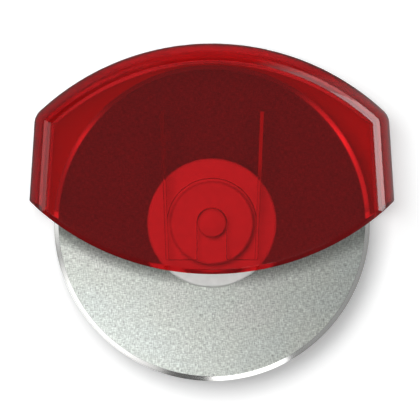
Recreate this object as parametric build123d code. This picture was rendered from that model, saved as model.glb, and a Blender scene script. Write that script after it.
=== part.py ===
from build123d import *
import math
import os

# Palm-held pizza cutter: a cutting wheel carried in a hollow, clear red handle that fills the palm.
# Millimetres. +Z is up with the handle on top, -Y is the front face and X runs across the handle.
# The origin is on the blade's mid-plane, at the lowest point of the cutting edge.

# ---- cutting wheel ----
BLADE_DIAMETER = 100.0
BLADE_THICKNESS = 1.0
BEVEL_WIDTH = 1.5  # ground on both faces, measured along the radius
MICRO_BEVEL_WIDTH = 0.3  # honed strip at the very edge
MICRO_BEVEL_THICKNESS = 0.26
CUTTING_EDGE_THICKNESS = 0.06

HUB_DISC_RADIUS = 20.4
HUB_DISC_THICKNESS = 2.4
HUB_BOSS_RADIUS = 13.1
HUB_BOSS_HEIGHT = 4.0
HUB_RIM_RADIUS = 0.8
HUB_FOOT_RADIUS = 0.5
HUB_SPIGOT_RADIUS = 7.0  # locates the blade's bore

POST_RADIUS = 1.5  # each half of the hub has posts that press into the other half
POST_CIRCLE_RADIUS = 10.0
POST_REACH = 1.6  # past the blade, into the other half
POST_ROOT = 0.5
POST_CHAMFER = 0.3
POSTS_PER_HALF = 3
SOCKET_DEPTH = 1.8
PRESS_CLEARANCE = 0.02
HOLE_CLEARANCE = 0.1

AXLE_RADIUS = 4.4
AXLE_LENGTH = 21.2
AXLE_DOME_HEIGHT = 0.9
AXLE_EDGE_RADIUS = 0.3
RUNNING_CLEARANCE = 0.06

# ---- handle outline, seen from the front ----
HANDLE_DEPTH = 27.0
WALL = 2.4
CROWN_ABOVE_AXLE = 56.8
CROWN_RADIUS = 80.0
MOUTH_BELOW_AXLE = 16.1
MOUTH_RADIUS = 83.5
MOUTH_HALF_WIDTH = 57.75
SIDE_LEAN = 3.7  # degrees; the sides spread towards the mouth
SHOULDER_RADIUS = 5.8
LEAST_SHOULDER_RADIUS = 0.3
CORNER_RADIUS = 0.6  # where the sides meet the mouth
SKIRT = 12.0  # extra length that the mouth cut takes away

# ---- handle section, from the parting plane to the front face ----
SIDE_CROWN_INSET = 3.25  # how far the rounded side falls in before the facet
CROWN_DROOP = 0.45  # further fall at the middle of the crown, where the facet fades out
FACET_WIDTH = 2.35
FACET_DEPTH = 2.2
FACET_BULGE = 0.03  # how far the facet stands out at its middle
MOUTH_BEVEL = 1.4
EDGE_RADIUS = 0.4
SEAM_BEVEL = 0.15

# ---- inside the handle ----
PAD_HALF_WIDTH = 14.2
PAD_BOSS_GAP = 0.5
PAD_EDGE_RADIUS = 0.4
SLOT_CLEARANCE = 0.1
SLOT_CHAMFER = 0.4
SNAP_LIP_HEIGHT = 0.35
SNAP_LIP_LENGTH = 1.0
RIB_THICKNESS = 1.0
RIB_TOP_ABOVE_AXLE = 35.1
RIB_FOOT_BELOW_AXLE = 11.7
RIB_TOP_OFFSET = 15.3  # inner face of the rib from the mid-line
RIB_FOOT_OFFSET = 13.5
RIB_HUB_GAP = 1.7
RIB_EDGE_RADIUS = 0.3
TONGUE_INSET = 0.85
TONGUE_WIDTH = 0.8
TONGUE_HEIGHT = 0.9
TONGUE_SETBACK = 4.0  # stops this far short of the mouth
GROOVE_CLEARANCE = 0.05

# ---- how the solids are made ----
MARGIN = 1.0  # how far a cutter or a search reaches past what it has to cover
MATCH = 0.01  # how closely an edge has to lie to count as being in a place
SIDE_SHARES = (0, 0.35, 0.7, 1)  # where the rounded side's loft has a section

# ---- worked out from the sizes above ----
blade_radius = BLADE_DIAMETER / 2
axle_z = blade_radius
half_blade = BLADE_THICKNESS / 2
hub_disc_y = half_blade + HUB_DISC_THICKNESS
hub_boss_y = hub_disc_y + HUB_BOSS_HEIGHT
half_depth = HANDLE_DEPTH / 2
inner_y = half_depth - WALL
pad_y = hub_boss_y + PAD_BOSS_GAP
rib_y = hub_disc_y + RIB_HUB_GAP
root_y = half_depth - WALL / 2  # ribs and pads are rooted half-way into the wall
facet_y = half_depth - FACET_DEPTH
crown_z = axle_z + CROWN_ABOVE_AXLE
mouth_z = axle_z - MOUTH_BELOW_AXLE
mouth_centre_z = mouth_z + MOUTH_RADIUS
mouth_corner_z = mouth_centre_z - math.sqrt(MOUTH_RADIUS**2 - MOUTH_HALF_WIDTH**2)
side_round_radius = (facet_y**2 + SIDE_CROWN_INSET**2) / (2 * SIDE_CROWN_INSET)
rib_top_z = axle_z + RIB_TOP_ABOVE_AXLE
rib_foot_z = axle_z - RIB_FOOT_BELOW_AXLE
axle_axis = Axis((0, 0, axle_z), (0, 1, 0))
upright = Axis((0, 0, 0), (0, 0, 1))


def turned(*points):
    """Solid of revolution about the axle, from (radius, y) corners."""
    section = Polygon(*points, align=None)
    return revolve(Plane((0, 0, axle_z), x_dir=(1, 0, 0), z_dir=(0, 0, 1)) * section, axle_axis)


def around_axle(shape, count, start=0.0):
    """Copies of shape spread evenly round the axle, the first turned by start degrees."""
    return [shape.rotate(axle_axis, start + 360 * i / count) for i in range(count)]


def rod(radius, y_from, y_to, z=axle_z):
    """Round bar along Y."""
    plane = Plane((0, y_from, z), x_dir=(1, 0, 0), z_dir=(0, 1, 0))
    return extrude(plane * Circle(radius), y_to - y_from)


def front_plane(depth):
    """Plane whose local x and y are X and Z, lying depth in front of the mid-plane."""
    return Plane.XZ.offset(depth)


def circles_at(body, radius, y):
    """Round edges of that radius in the plane y."""
    rims = body.edges().filter_by(GeomType.CIRCLE)
    return rims.filter_by(lambda e: abs(e.radius - radius) < MATCH and abs(e.center().Y - y) < MATCH)


# ---------------------------------------------------------------- cutting wheel
def make_blade():
    bevel_start = blade_radius - BEVEL_WIDTH
    micro_start = blade_radius - MICRO_BEVEL_WIDTH
    half_micro = MICRO_BEVEL_THICKNESS / 2
    half_edge = CUTTING_EDGE_THICKNESS / 2
    bore = HUB_SPIGOT_RADIUS + HOLE_CLEARANCE
    disc = turned(
        (bore, -half_blade),
        (bevel_start, -half_blade),
        (micro_start, -half_micro),
        (blade_radius, -half_edge),
        (blade_radius, half_edge),
        (micro_start, half_micro),
        (bevel_start, half_blade),
        (bore, half_blade),
    )
    hole_radius = POST_RADIUS + HOLE_CLEARANCE
    hole = rod(hole_radius, -BLADE_THICKNESS, BLADE_THICKNESS, z=axle_z + POST_CIRCLE_RADIUS)
    return disc - around_axle(hole, 2 * POSTS_PER_HALF)


def make_hub_front():
    """Front half of the hub: disc against the blade, boss, spigot, posts and sockets."""
    bore = AXLE_RADIUS + RUNNING_CLEARANCE
    spigot_end = PRESS_CLEARANCE / 2
    body = turned(
        (bore, -spigot_end),
        (bore, -hub_boss_y),
        (HUB_BOSS_RADIUS, -hub_boss_y),
        (HUB_BOSS_RADIUS, -hub_disc_y),
        (HUB_DISC_RADIUS, -hub_disc_y),
        (HUB_DISC_RADIUS, -half_blade),
        (HUB_SPIGOT_RADIUS, -half_blade),
        (HUB_SPIGOT_RADIUS, -spigot_end),
    )
    rims = circles_at(body, HUB_BOSS_RADIUS, -hub_boss_y) + circles_at(body, HUB_DISC_RADIUS, -hub_disc_y)
    body = fillet(rims, HUB_RIM_RADIUS)
    body = fillet(circles_at(body, HUB_BOSS_RADIUS, -hub_disc_y), HUB_FOOT_RADIUS)

    post_z = axle_z + POST_CIRCLE_RADIUS
    post = rod(POST_RADIUS, -half_blade - POST_ROOT, half_blade + POST_REACH, z=post_z)
    post = chamfer(post.edges().sort_by(Axis.Y)[-1], POST_CHAMFER)
    socket = rod(POST_RADIUS + PRESS_CLEARANCE, -half_blade - SOCKET_DEPTH, 0, z=post_z)
    half_pitch = 180 / POSTS_PER_HALF
    return body + around_axle(post, POSTS_PER_HALF) - around_axle(socket, POSTS_PER_HALF, half_pitch)


def turned_over(hub_half):
    """The same moulding turned to face backwards, its posts meeting the other half's sockets."""
    return hub_half.rotate(upright, 180).rotate(axle_axis, 180 / POSTS_PER_HALF)


def make_axle():
    half = AXLE_LENGTH / 2
    shoulder = half - AXLE_DOME_HEIGHT
    dome_radius = (AXLE_RADIUS**2 + AXLE_DOME_HEIGHT**2) / (2 * AXLE_DOME_HEIGHT)
    bar = rod(AXLE_RADIUS, -half, half)
    for centre_y in (dome_radius - half, half - dome_radius):
        bar = bar & Pos(0, centre_y, axle_z) * Sphere(dome_radius)
    rims = circles_at(bar, AXLE_RADIUS, -shoulder) + circles_at(bar, AXLE_RADIUS, shoulder)
    return fillet(rims, AXLE_EDGE_RADIUS)


# ---------------------------------------------------------------- handle
def outline(inset, droop=0.0):
    """Handle outline drawn in by inset, and by droop more at the top; its sides run down past the mouth."""
    foot_z = mouth_z - SKIRT
    lean = math.tan(math.radians(SIDE_LEAN))
    draw_in = inset / math.cos(math.radians(SIDE_LEAN))
    foot_x = MOUTH_HALF_WIDTH + (mouth_corner_z - foot_z) * lean - draw_in
    top_x = MOUTH_HALF_WIDTH + (mouth_corner_z - crown_z) * lean - draw_in
    sides = Polygon((-foot_x, foot_z), (foot_x, foot_z), (top_x, crown_z), (-top_x, crown_z), align=None)
    radius = CROWN_RADIUS - inset
    rise = radius - math.sqrt(radius**2 - top_x**2) - droop
    flatter = (top_x**2 + rise**2) / (2 * rise)
    flat = sides & Pos(0, crown_z - inset - droop - flatter) * Circle(flatter)
    shoulders = flat.vertices().group_by(Axis.Y)[-1]
    return fillet(shoulders, max(SHOULDER_RADIUS - inset, LEAST_SHOULDER_RADIUS))


def side_inset(depth, skin=0.0):
    """How far the rounded side stands in from the outline at a depth, skin below the surface."""
    return side_round_radius - math.sqrt((side_round_radius - skin) ** 2 - depth**2)


def half_block(skin=0.0):
    """Front half of the handle as a solid block, or of the hollow that lies skin below it."""
    facet_angle = math.atan2(FACET_DEPTH, FACET_WIDTH)
    side_angle = math.asin(facet_y / side_round_radius)
    bend_half_angle = (math.pi / 2 - facet_angle - side_angle) / 2
    bend_direction = (math.pi / 2 + facet_angle - side_angle) / 2
    side_end = facet_y - skin * math.cos(bend_direction) / math.cos(bend_half_angle)
    front_inset = SIDE_CROWN_INSET + FACET_WIDTH + skin * math.tan((math.pi / 2 - facet_angle) / 2)
    side = [
        (share * side_end, side_inset(share * side_end, skin), share**2 * CROWN_DROOP)
        for share in SIDE_SHARES
    ]
    front = (half_depth - skin, front_inset, 0.0)
    middle = [(start + end) / 2 for start, end in zip(side[-1], front)]
    middle[1] -= FACET_BULGE
    return through(side) + through([side[-1], middle, front])


def through(sections, ruled=False):
    """Loft through the outline at each (depth, inset, droop)."""
    return loft([front_plane(depth) * outline(*insets) for depth, *insets in sections], ruled=ruled)


def seam_relief():
    """What the bevel takes off the edge of the parting plane."""
    slab = extrude(Plane.XZ * outline(-MARGIN), SEAM_BEVEL)
    return slab - through([(0, SEAM_BEVEL), (SEAM_BEVEL, 0)], ruled=True)


def mouth_disc(radius, depth, bevel=0.0):
    """Disc that trims a front half to the mouth's arc, its front rim bevelled."""
    corners = [(0, 0), (radius, 0), (radius, bevel - depth)]
    if bevel:
        corners.append((radius - bevel, -depth))
    corners.append((0, -depth))
    centre = Plane((0, 0, mouth_centre_z), x_dir=(1, 0, 0), z_dir=(0, 0, 1))
    return revolve(centre * Polygon(*corners, align=None), Axis(centre.origin, (0, 1, 0)))


def edges_round(body, depth):
    """Edges that run round the handle at one depth, above the mouth."""

    def level(edge):
        box = edge.bounding_box()
        at_depth = abs(box.min.Y + depth) < MATCH and abs(box.max.Y + depth) < MATCH
        return at_depth and edge.center().Z > mouth_z

    return body.edges().filter_by(level)


def corner_edges(body):
    """Edges where the sides meet the mouth."""
    reach = SIDE_CROWN_INSET + FACET_WIDTH + MARGIN

    def near_corner(edge):
        centre = edge.center()
        return abs(centre.X) > MOUTH_HALF_WIDTH - reach and abs(centre.Z - mouth_corner_z) < reach

    return body.edges().filter_by(near_corner)


def make_rib():
    """Right-hand guide rib that keeps the wheel upright."""
    side = Polygon(
        (RIB_FOOT_OFFSET, rib_foot_z),
        (RIB_FOOT_OFFSET + RIB_THICKNESS, rib_foot_z),
        (RIB_TOP_OFFSET + RIB_THICKNESS, rib_top_z),
        (RIB_TOP_OFFSET, rib_top_z),
        align=None,
    )
    rib = extrude(front_plane(rib_y) * side, root_y - rib_y)
    return fillet(rib.faces().sort_by(Axis.Y)[-1].edges(), RIB_EDGE_RADIUS)


def make_pad():
    """Arched pad on the front wall that takes the end of the axle."""
    leg_height = axle_z - rib_foot_z
    arch = Pos(0, axle_z) * Circle(PAD_HALF_WIDTH)
    legs = Pos(0, axle_z - leg_height / 2) * Rectangle(2 * PAD_HALF_WIDTH, leg_height)
    below = Pos(0, rib_foot_z - PAD_HALF_WIDTH) * Rectangle(2 * PAD_HALF_WIDTH, 2 * PAD_HALF_WIDTH)
    pad = extrude(front_plane(pad_y) * (arch + legs - below), root_y - pad_y)
    return fillet(pad.faces().sort_by(Axis.Y)[-1].edges(), PAD_EDGE_RADIUS)


def make_axle_slot():
    """Seat for the axle's end and the channel up to it from the mouth, a snap lip between them."""
    radius = AXLE_RADIUS + SLOT_CLEARANCE
    open_y = pad_y - MARGIN
    foot_z = mouth_z - MARGIN
    lip_y = inner_y - SNAP_LIP_HEIGHT
    lip_z = axle_z - radius - SNAP_LIP_LENGTH
    floor = Polygon(
        (-open_y, foot_z),
        (-open_y, axle_z),
        (-lip_y, axle_z),
        (-lip_y, lip_z),
        (-inner_y, rib_foot_z),
        (-inner_y, foot_z),
        align=None,
    )
    channel = extrude(Plane((-radius, 0, 0), x_dir=(0, 1, 0), z_dir=(1, 0, 0)) * floor, 2 * radius)
    return rod(radius, -inner_y, -open_y) + channel


def slot_edges(body):
    """Edges round the axle slot on the face of the pad."""
    reach = AXLE_RADIUS + SLOT_CLEARANCE + MATCH

    def beside_slot(edge):
        box = edge.bounding_box()
        flat = abs(box.min.Y + pad_y) < MATCH and abs(box.max.Y + pad_y) < MATCH
        return flat and box.max.X < reach and box.min.X > -reach

    return body.edges().filter_by(beside_slot)


def make_front_half():
    """What the two halves of the handle share; their joint is cut afterwards."""
    block = half_block()
    block = fillet(edges_round(block, half_depth) + edges_round(block, facet_y), EDGE_RADIUS)
    block = block & mouth_disc(MOUTH_RADIUS, half_depth, MOUTH_BEVEL)
    block = fillet(corner_edges(block), CORNER_RADIUS) - seam_relief()
    rib = make_rib()
    shell = block - half_block(WALL) + rib + mirror(rib, Plane.YZ) + make_pad() - make_axle_slot()
    return chamfer(slot_edges(shell), SLOT_CHAMFER)


def seam_tongue(clearance=0.0):
    """Tongue that stands behind the parting plane in the middle of the wall, or its groove."""
    outer = outline(TONGUE_INSET - clearance)
    inner = outline(TONGUE_INSET + TONGUE_WIDTH + clearance)
    height = TONGUE_HEIGHT + clearance
    tongue = extrude(Plane.XZ * (outer - inner), -height)
    return tongue & mirror(mouth_disc(MOUTH_RADIUS - TONGUE_SETBACK + clearance, height), Plane.XZ)


if __name__ == "__main__":
    os.makedirs("parts", exist_ok=True)
    front_half = make_front_half()
    hub_front = make_hub_front()
    nodes = {
        "front_shell": front_half + seam_tongue(),
        "rear_shell": mirror(front_half, Plane.XZ) - seam_tongue(GROOVE_CLEARANCE),
        "blade": make_blade(),
        "hub_front": hub_front,
        "hub_rear": turned_over(hub_front),
        "axle_pin": make_axle(),
    }
    for name, shape in nodes.items():
        export_step(shape, f"parts/{name}.step")
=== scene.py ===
# Studio picture of a palm-held pizza cutter: clear red handle, white hub and a brushed steel blade.
import math

import bpy
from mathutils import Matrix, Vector

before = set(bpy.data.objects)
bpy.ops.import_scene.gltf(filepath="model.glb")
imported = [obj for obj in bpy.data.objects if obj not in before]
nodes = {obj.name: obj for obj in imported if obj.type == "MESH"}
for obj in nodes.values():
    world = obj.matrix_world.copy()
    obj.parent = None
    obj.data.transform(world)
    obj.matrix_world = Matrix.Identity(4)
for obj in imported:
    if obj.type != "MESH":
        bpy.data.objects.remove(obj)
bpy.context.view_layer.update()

# ---------------------------------------------------------------- sizes, metres, row frame
AXLE = Vector((0.0, 0.0, 0.05))
BLADE_RADIUS = 0.05
BEVEL_WIDTH = 0.0015
BEVEL_BLEND = 0.00003
REAR_FACE = 0.0135
MOUTH_RADIUS = 0.0835
MOUTH_CENTRE = AXLE.z - 0.0161 + MOUTH_RADIUS

WALL_TINT = (0.80, 0.010, 0.015)  # what one wall of the handle lets through
SIDE_TINT = (0.48, 0.006, 0.010)  # the same along a side wall, through more plastic
INNER_HAZE = 0.13  # extra roughness of the moulded inside
DEEPEST_BOUNCE = 6
PAINTED_EMBER = (0.55, 0.012, 0.016)  # painted red glow: what a ray that stays in the plastic ends up with, in place of the light it would gather; also the colour of the painted rib glow
RIB_X = 0.0152  # middle of the band where the ribs stand
RIB_HALF_BAND = 0.0022
RIB_EDGE_Y = 0.0046  # how far their free edges are from the mid-plane
RIB_EDGE_MATCH = 0.0003
RIB_GLOW_HEIGHTS = (AXLE.z + 0.012, AXLE.z + 0.019)  # over which the painted glow on the rib edges fades in, clear of the hub
RIB_PAINTED_GLOW = (0.3, 0.95)  # how brightly the left and the right free edge are painted to glow
LAMP_FACE = (0.95, 0.93, 0.93)  # what light keeps at each face of a wall
LAMP_SIDE = (0.66, 0.64, 0.64)  # the same where it enters a side of the handle

WEAVE_SCALE = (3700.0, 60.0, 700.0)  # across a brush stroke, in depth, along the stroke; per metre
RING_SCALE = 9000.0  # grinding marks on the bevel, per metre
STEEL_HUES = (  # (place in slow noise, colour)
    (0.35, (0.59, 0.627, 0.597)),
    (0.5, (0.60, 0.625, 0.58)),
    (0.65, (0.615, 0.615, 0.585)),
)

FLOOR_GLOW = 0.37
FLOOR_TONE = 0.85
CROWN_PAINTED_REFLECTION = 1.6  # painted reflection: what the right of the crown mirrors, a bright patch the floor shows only to reflections
FLOOR_HALF_SIZE = 1.5
FLOOR_GAP = 0.0002
FLOOR_GLOW_PAINTED_SHADE = 0.1  # the same seen through the handle, lowered with the tone below as painted shade for the shadow under the handle
FLOOR_TONE_PAINTED_SHADE = 0.69
FLAG_DROP = 0.0056  # how far the flag's edge reaches past the mouth
FLAG_SHIFT = 0.0020  # sideways, to meet the light that comes from the left
FLAG_HALF_WIDTH = 0.075
FLAG_TOP = 0.14
KEY_POWER = 6.0
KEY_PLACE = (0.17, 0.80, 0.22)
KEY_SIZE = 0.45
SHEEN_POWER = 0.28
SHEEN_PLACE = (0.085, 0.29, -0.045)
SHEEN_AIM = (0.0, 0.0, 0.04)
SHEEN_SIZE = 0.1
FILL_POWER = 1.6
FILL_PLACE = (0.8, 0.0, 0.15)
FILL_SIZE = 0.5
ROOM = 0.09  # what surfaces mirror where there is no lamp
AROUND_LENS = 0.25
BACKDROP = 0.9
RING_TOP = 3.0
RING = (  # (degrees around the lens from the right, counterclockwise; brightness)
    (0.0, 0.3),
    (8.0, 2.8),
    (45.0, 2.2),
    (58.0, 0.6),
    (130.0, 0.6),
    (145.0, 1.6),
    (182.0, 1.4),
    (192.0, 0.5),
    (204.0, 2.0),
    (235.0, 2.0),
    (250.0, 1.0),
    (254.0, 0.1),
    (269.5, 0.1),
    (270.5, 3.0),
    (298.0, 3.0),
    (299.5, 0.25),
    (308.0, 0.42),
    (345.0, 0.42),
)

# ---------------------------------------------------------------- camera
FRAME_CENTRE = Vector((-0.0006, 0.0, 0.0541))
FRAME_WIDTH = 0.1329  # what the picture spans at the blade
CAMERA_DISTANCE = 2.4
SENSOR = 36.0

# ---------------------------------------------------------------- node helpers


class Shader:
    """Small helper that adds nodes to a material or a world and links them."""

    def __init__(self, name, world=False):
        self.owner = (bpy.data.worlds if world else bpy.data.materials).new(name)
        self.owner.use_nodes = True
        self.tree = self.owner.node_tree
        self.tree.nodes.clear()
        self.row = 0
        self.output = self.node("OutputWorld" if world else "OutputMaterial")

    def node(self, kind, inputs=None, **props):
        n = self.tree.nodes.new("ShaderNode" + kind)
        n.location = (self.row * 40 - 1600, -(self.row % 8) * 160)
        self.row += 1
        for key, value in props.items():
            setattr(n, key, value)
        for key, value in (inputs or {}).items():
            self.feed(n.inputs[key], value)
        return n

    def feed(self, socket, value):
        if isinstance(value, bpy.types.NodeSocket):
            self.tree.links.new(value, socket)
        else:
            socket.default_value = value

    def math(self, op, a, b=0.0, c=0.0, clamp=False):
        n = self.node("Math", {0: a, 1: b, 2: c}, operation=op, use_clamp=clamp)
        return n.outputs[0]

    def ramp(self, value, *stops):
        """Colour ramp through (position, grey or colour)."""
        n = self.node("ValToRGB", {0: value})
        elements = n.color_ramp.elements
        while len(elements) > len(stops):
            elements.remove(elements[-1])
        while len(elements) < len(stops):
            elements.new(1.0)
        for element, (position, colour) in zip(elements, stops):
            element.position = position
            element.color = (*colour, 1.0) if isinstance(colour, tuple) else (colour,) * 3 + (1.0,)
        return n.outputs[0]

    def map_range(self, value, lo, hi, to_lo, to_hi, smooth=False):
        n = self.node(
            "MapRange",
            {0: value, 1: lo, 2: hi, 3: to_lo, 4: to_hi},
            interpolation_type="SMOOTHSTEP" if smooth else "LINEAR",
        )
        return n.outputs[0]

    def number(self, share, a, b):
        n = self.node("Mix", data_type="FLOAT")
        for socket, value in zip(n.inputs[0:1] + n.inputs[2:4], (share, a, b)):
            self.feed(socket, value)
        return n.outputs[0]

    def mix(self, share, a, b):
        n = self.node("Mix", data_type="RGBA")
        self.feed(n.inputs[0], share)
        self.feed(n.inputs[6], a if isinstance(a, bpy.types.NodeSocket) else (*a, 1.0))
        self.feed(n.inputs[7], b if isinstance(b, bpy.types.NodeSocket) else (*b, 1.0))
        return n.outputs[2]

    def place(self):
        """Position in the row frame at rest."""
        return self.node("TexCoord").outputs["Object"]

    def scaled(self, vector, scale):
        return self.node("Mapping", {0: vector, 3: scale}).outputs[0]

    def noise(self, vector, scale, detail=2.0, rough=0.5):
        n = self.node("TexNoise", {"Vector": vector, "Scale": scale, "Detail": detail, "Roughness": rough})
        return n.outputs[0]

    def bump(self, height, distance, strength=1.0, normal=None):
        inputs = {"Height": height, "Distance": distance, "Strength": strength}
        if normal is not None:
            inputs["Normal"] = normal
        return self.node("Bump", inputs).outputs[0]

    def finish(self, surface):
        self.tree.links.new(surface, self.output.inputs["Surface"])
        return self.owner


# ---------------------------------------------------------------- materials


def clear_red():
    """Clear tinted plastic. It bends what the camera sees; light for other surfaces passes straight. The
    rib edges carry a painted glow, and rays lost deep inside show a painted red glow.
    """
    s = Shader("clear_red_plastic")
    place = s.place()
    swirl = s.noise(place, 60.0, 2.0)
    haze = s.noise(place, 900.0, 3.0)
    ray = s.node("LightPath").outputs
    inside = s.math("GREATER_THAN", ray["Transmission Depth"], 0.5)
    rough = s.map_range(haze, 0.3, 0.7, 0.015, 0.04)
    rough = s.math("MULTIPLY_ADD", inside, INNER_HAZE, rough)
    normal = s.bump(swirl, 0.00006, 0.3)
    true_normal = s.node("NewGeometry").outputs["True Normal"]
    normal_x, normal_y, _ = s.node("SeparateXYZ", {0: true_normal}).outputs
    facing = s.math("ABSOLUTE", normal_y)
    sideways = s.map_range(s.math("ABSOLUTE", normal_x), 0.1, 0.6, 0.0, 1.0, smooth=True)
    along_wall = s.math("MULTIPLY", sideways, s.map_range(facing, 0.5, 0.7, 1.0, 0.0, smooth=True))
    glass = s.node(
        "BsdfPrincipled",
        {
            "Base Color": s.mix(along_wall, WALL_TINT, SIDE_TINT),
            "Roughness": rough,
            "IOR": 1.49,
            "Transmission Weight": 1.0,
            "Normal": normal,
        },
    )
    flat = s.map_range(facing, 0.6, 0.9, 0.0, 1.0, smooth=True)
    tint = s.mix(flat, LAMP_SIDE, LAMP_FACE)
    lamp = s.node("BsdfTransparent", {"Color": tint})
    outside = s.math("LESS_THAN", s.math("MODULO", ray["Transmission Depth"], 2.0), 0.5)
    bounced = s.math("MULTIPLY", ray["Is Reflection Ray"], outside)
    bounced = s.math("MAXIMUM", bounced, ray["Is Diffuse Ray"])
    # Painted glow: a ray that bounces past DEEPEST_BOUNCE shows a red emission in place of the light it
    # would gather.
    lost = s.math("GREATER_THAN", ray["Ray Depth"], DEEPEST_BOUNCE + 0.5)
    painted_lost_glow = s.node("Emission", {"Color": (*PAINTED_EMBER, 1.0)})
    # Painted highlight: the free edges of the ribs glow by emission, the right one brighter, fading in
    # above the hub.
    x, y, z = s.node("SeparateXYZ", {0: place}).outputs
    on_rib = s.math("COMPARE", s.math("ABSOLUTE", x), RIB_X, RIB_HALF_BAND)
    at_edge = s.math("COMPARE", s.math("ABSOLUTE", y), RIB_EDGE_Y, RIB_EDGE_MATCH)
    on_edge = s.math("MULTIPLY", on_rib, at_edge)
    clear_of_hub = s.map_range(z, *RIB_GLOW_HEIGHTS, 0.0, 0.5, smooth=True)
    glow = s.number(s.math("GREATER_THAN", x, 0.0), *RIB_PAINTED_GLOW)
    painted_rib_glow = s.node("Emission", {"Color": (*PAINTED_EMBER, 1.0), "Strength": glow})
    glass = s.node("MixShader", {0: lost, 1: glass.outputs[0], 2: painted_lost_glow.outputs[0]})
    painted_rib_share = s.math("MULTIPLY", on_edge, clear_of_hub)
    glass = s.node("MixShader", {0: painted_rib_share, 1: glass.outputs[0], 2: painted_rib_glow.outputs[0]})
    unbent = s.node("MixShader", {0: bounced, 1: glass.outputs[0], 2: lamp.outputs[0]})
    both = s.node("MixShader", {0: ray["Is Shadow Ray"], 1: unbent.outputs[0], 2: lamp.outputs[0]})
    return s.finish(both.outputs[0])


def blade_steel():
    """Fine cross-brushed steel with a polished bevel at the cutting edge."""
    s = Shader("blade_steel")
    place = s.place()
    offset = s.node("VectorMath", {0: place, 1: tuple(AXLE)}, operation="SUBTRACT").outputs[0]
    split = s.node("SeparateXYZ", {0: offset})
    flat = s.node("CombineXYZ", {0: split.outputs[0], 2: split.outputs[2]}).outputs[0]
    radius = s.node("VectorMath", {0: flat}, operation="LENGTH").outputs["Value"]
    bevel_start = BLADE_RADIUS - BEVEL_WIDTH
    bevel = s.map_range(radius, bevel_start - BEVEL_BLEND, bevel_start + BEVEL_BLEND, 0.0, 1.0)
    across, deep, along = WEAVE_SCALE
    along_z = s.noise(s.scaled(place, (across, deep, along)), 1.0, 2.0, 0.6)
    along_x = s.noise(s.scaled(place, (along, deep, across)), 1.0, 2.0, 0.6)
    weave = s.math("ADD", along_z, along_x)
    weave = s.math("MULTIPLY", weave, 0.5)
    outward = s.node("CombineXYZ", {0: s.math("MULTIPLY", radius, RING_SCALE)}).outputs[0]
    rings = s.noise(outward, 1.0, 1.0)
    height = s.math("MULTIPLY", weave, s.math("SUBTRACT", 1.0, bevel))
    height = s.math("ADD", height, s.math("MULTIPLY", rings, s.math("MULTIPLY", bevel, 0.15)))
    normal = s.bump(height, 0.00004, 0.6)
    tone = s.map_range(weave, 0.35, 0.65, 0.47, 1.41)
    hue = s.ramp(s.noise(place, 30.0, 2.0), *STEEL_HUES)
    face = s.node("VectorMath", {0: hue, 3: tone}, operation="SCALE").outputs[0]
    colour = s.mix(bevel, face, (0.72, 0.72, 0.70))
    rough = s.map_range(bevel, 0.0, 1.0, 0.42, 0.1)
    metal = s.node(
        "BsdfPrincipled",
        {"Base Color": colour, "Metallic": 1.0, "Roughness": rough, "Normal": normal},
    )
    return s.finish(metal.outputs[0])


def white_plastic():
    """Smooth moulded plastic with a slight change of tone."""
    s = Shader("white_plastic")
    place = s.place()
    tone = s.noise(place, 400.0, 3.0)
    colour = s.ramp(tone, (0.35, (0.69, 0.69, 0.67)), (0.65, (0.75, 0.75, 0.73)))
    grain = s.noise(place, 5000.0, 2.0)
    normal = s.bump(grain, 0.00001, 0.4)
    rough = s.map_range(tone, 0.3, 0.7, 0.32, 0.42)
    plastic = s.node(
        "BsdfPrincipled",
        {"Base Color": colour, "Roughness": rough, "IOR": 1.5, "Normal": normal},
    )
    return s.finish(plastic.outputs[0])


def paint(names, material):
    for name in names:
        mesh = nodes[name].data
        mesh.materials.clear()
        mesh.materials.append(material)


paint(["front_shell", "rear_shell"], clear_red())
paint(["blade"], blade_steel())
paint(["hub_front", "hub_rear", "axle_pin"], white_plastic())

# ---------------------------------------------------------------- stage


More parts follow.
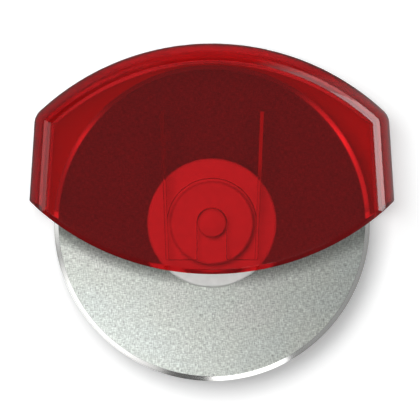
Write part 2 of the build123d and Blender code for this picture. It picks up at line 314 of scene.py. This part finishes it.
def make_floor():
    """Pale surface that the cutter lies on, seen only from its front. Reflections see painted highlights on
    it, and seen through the handle it is darkened as painted shade.
    """
    mesh = bpy.data.meshes.new("floor")
    y = REAR_FACE + FLOOR_GAP
    half = FLOOR_HALF_SIZE
    corners = [(-half, y, -half), (half, y, -half), (half, y, half), (-half, y, half)]
    mesh.from_pydata(corners, [], [(0, 1, 2, 3)])
    mesh.update()
    floor = bpy.data.objects.new("floor", mesh)
    bpy.context.scene.collection.objects.link(floor)
    s = Shader("floor_paper")
    ray = s.node("LightPath").outputs
    across, _, height = s.node("SeparateXYZ", {0: s.node("NewGeometry").outputs["Position"]}).outputs
    # Painted reflection: to reflection rays the floor is dark except a faint band just beyond both sides of
    # the handle, brighter on the right, and a bright patch above right of the crown.
    painted_reflection = s.map_range(s.math("ABSOLUTE", across), 0.045, 0.058, 0.03, 0.08)
    painted_reflection = s.math("ADD", painted_reflection, s.map_range(across, 0.045, 0.06, 0.0, 0.18))
    high = s.map_range(height, 0.12, 0.16, 0.0, 1.0)
    painted_crown_patch = s.math("MULTIPLY", high, s.map_range(across, 0.06, 0.13, 0.0, 1.0))
    painted_reflection = s.math("MULTIPLY_ADD", painted_crown_patch, CROWN_PAINTED_REFLECTION, painted_reflection)
    # Painted shade: seen through the handle, the floor gets a lower glow and tone.
    glow = s.math("MULTIPLY_ADD", ray["Is Transmission Ray"], FLOOR_GLOW_PAINTED_SHADE - FLOOR_GLOW, FLOOR_GLOW)
    glow = s.number(ray["Is Reflection Ray"], glow, painted_reflection)
    tone = s.math("MULTIPLY_ADD", ray["Is Transmission Ray"], FLOOR_TONE_PAINTED_SHADE - FLOOR_TONE, FLOOR_TONE)
    tone = s.number(ray["Is Reflection Ray"], tone, 0.05)
    paper = s.node("BsdfDiffuse", {"Color": tone})
    light = s.node("Emission", {"Strength": glow})
    lit = s.node("AddShader", {0: paper.outputs[0], 1: light.outputs[0]})
    clear = s.node("BsdfTransparent")
    camera_place = s.node("VectorTransform", vector_type="POINT", convert_from="CAMERA", convert_to="WORLD")
    behind = s.math("GREATER_THAN", s.node("SeparateXYZ", {0: camera_place.outputs[0]}).outputs[1], y)
    both = s.node("MixShader", {0: behind, 1: lit.outputs[0], 2: clear.outputs[0]})
    mesh.materials.append(s.finish(both.outputs[0]))
    return floor


def area_light(name, place, aim, size, power):
    """Square lamp at place that points at aim."""
    data = bpy.data.lights.new(name, "AREA")
    data.size = size
    data.energy = power
    light = bpy.data.objects.new(name, data)
    light.location = place
    direction = Vector(aim) - Vector(place)
    light.rotation_euler = direction.to_track_quat("-Z", "Y").to_euler()
    bpy.context.scene.collection.objects.link(light)
    return light


def stage_card(name, points, faces, surface):
    """Card that the camera doesn't see."""
    mesh = bpy.data.meshes.new(name)
    mesh.from_pydata(points, [], faces)
    mesh.materials.append(surface)
    card = bpy.data.objects.new(name, mesh)
    bpy.context.scene.collection.objects.link(card)
    card.visible_camera = False
    card.visible_diffuse = False
    card.visible_transmission = False
    return card


def make_flag(name, side):
    """Card in front of one wall of the handle that keeps the sheen off the steel behind it."""
    radius = MOUTH_RADIUS + FLAG_DROP
    steps = 32
    across = [FLAG_HALF_WIDTH * (2.0 * i / steps - 1.0) for i in range(steps + 1)]
    edge = [(x, MOUTH_CENTRE - math.sqrt(radius * radius - x * x)) for x in across]
    corners = edge + [(FLAG_HALF_WIDTH, FLAG_TOP), (-FLAG_HALF_WIDTH, FLAG_TOP)]
    points = [(side * (FLAG_SHIFT - x), side * REAR_FACE, z) for x, z in corners]
    s = Shader(name)
    black = s.finish(s.node("BsdfDiffuse", {"Color": (0.0, 0.0, 0.0, 1.0)}).outputs[0])
    card = stage_card(name, points, [tuple(range(len(points)))], black)
    card.visible_glossy = False
    return card


def make_reflector(name, x, y_range, z_range, strength, fade=None):
    """Upright card at x that only shows in reflections; it dims over the heights in fade."""
    corners = [(0, 0), (1, 0), (1, 1), (0, 1)]
    points = [(x, y_range[i], z_range[j]) for i, j in corners]
    s = Shader(name)
    if fade:
        height = s.node("SeparateXYZ", {0: s.place()}).outputs[2]
        strength = s.map_range(height, fade[0], fade[1], strength, 0.0)
    lamp = s.finish(s.node("Emission", {"Strength": strength}).outputs[0])
    card = stage_card(name, points, [(0, 1, 2, 3)], lamp)
    card.visible_shadow = False


def blocked_by(light, pieces):
    """Let only these pieces cast shadows in this light."""
    collection = bpy.data.collections.new(light.name + "_blockers")
    for piece in pieces:
        collection.objects.link(piece)
    light.light_linking.blocker_collection = collection


def side_fill(name, side):
    """Weak light from one end of the handle for surfaces that face that way."""
    x, y, z = FILL_PLACE
    fill = area_light(name, (side * x, y, z), AXLE, FILL_SIZE, FILL_POWER)
    fill.visible_glossy = False
    fill.visible_transmission = False
    blocked_by(fill, nodes.values())


def light_side(name, side, floor):
    """Key light and steel sheen for the front (side -1) or the rear (side 1)."""
    x, y, z = KEY_PLACE
    key = area_light(name + "_key", (side * x, side * y, z), AXLE, KEY_SIZE, KEY_POWER)
    key.visible_glossy = False
    key.visible_transmission = False
    blocked_by(key, [*nodes.values(), floor])
    x, y, z = SHEEN_PLACE
    sheen = area_light(name + "_sheen", (side * x, side * y, z), SHEEN_AIM, SHEEN_SIZE, SHEEN_POWER)
    sheen.visible_diffuse = False
    sheen.visible_transmission = False
    blocked_by(sheen, [make_flag(name + "_flag", side), floor])


floor = make_floor()
light_side("front", -1, floor)
light_side("rear", 1, floor)
side_fill("fill_left", -1)
side_fill("fill_right", 1)
make_reflector("card_right", 0.5, (-0.09, 0.09), (-0.2, 1.7), 5.8, fade=(0.5, 1.65))
make_reflector("card_left", -0.5, (-0.09, 0.09), (-0.2, 0.3), 1.25)
make_reflector("strip_left_low", -0.48, (-0.018, 0.0), (-0.2, 0.07), 3.0)
make_reflector("strip_left_high", -0.48, (-0.08, -0.05), (0.07, 0.3), 3.0)


def make_world():
    """Pale surroundings. Polished metal sees a ring of lamps and gaps around the lens, front and back."""
    s = Shader("studio", world=True)
    ray = s.node("LightPath").outputs
    split = s.node("SeparateXYZ", {0: s.node("TexCoord").outputs["Generated"]})
    x, y, z = split.outputs
    polar = s.math("DEGREES", s.math("ARCCOSINE", s.math("ABSOLUTE", y)))
    turn = s.math("DIVIDE", s.math("DEGREES", s.math("ARCTAN2", z, x)), 360.0)
    turn = s.math("FRACT", s.math("ADD", turn, 1.0))
    ring = s.ramp(turn, *[(degrees / 360.0, level / RING_TOP) for degrees, level in RING])
    ring = s.math("MULTIPLY", ring, RING_TOP - ROOM)
    band = s.math(
        "MULTIPLY",
        s.map_range(polar, 27.0, 30.0, 0.0, 1.0, smooth=True),
        s.map_range(polar, 38.0, 41.0, 1.0, 0.0, smooth=True),
    )
    room = s.map_range(polar, 8.0, 20.0, AROUND_LENS, ROOM, smooth=True)
    ring = s.math("MULTIPLY_ADD", ring, s.math("MULTIPLY", band, ray["Is Glossy Ray"]), room)
    seen = s.math("MAXIMUM", ray["Is Camera Ray"], ray["Is Transmission Ray"])
    level = s.number(seen, ring, BACKDROP)
    return s.finish(s.node("Background", {"Strength": level}).outputs[0])


bpy.context.scene.world = make_world()

# ---------------------------------------------------------------- camera
camera_data = bpy.data.cameras.new("camera")
camera_data.sensor_width = SENSOR
camera_data.lens = SENSOR * CAMERA_DISTANCE / FRAME_WIDTH
camera = bpy.data.objects.new("camera", camera_data)
camera.location = FRAME_CENTRE - Vector((0.0, CAMERA_DISTANCE, 0.0))
camera.rotation_euler = (math.pi / 2, 0.0, 0.0)
bpy.context.scene.collection.objects.link(camera)
bpy.context.scene.camera = camera

view = bpy.context.scene.view_settings
view.view_transform = "Standard"
view.look = "None"
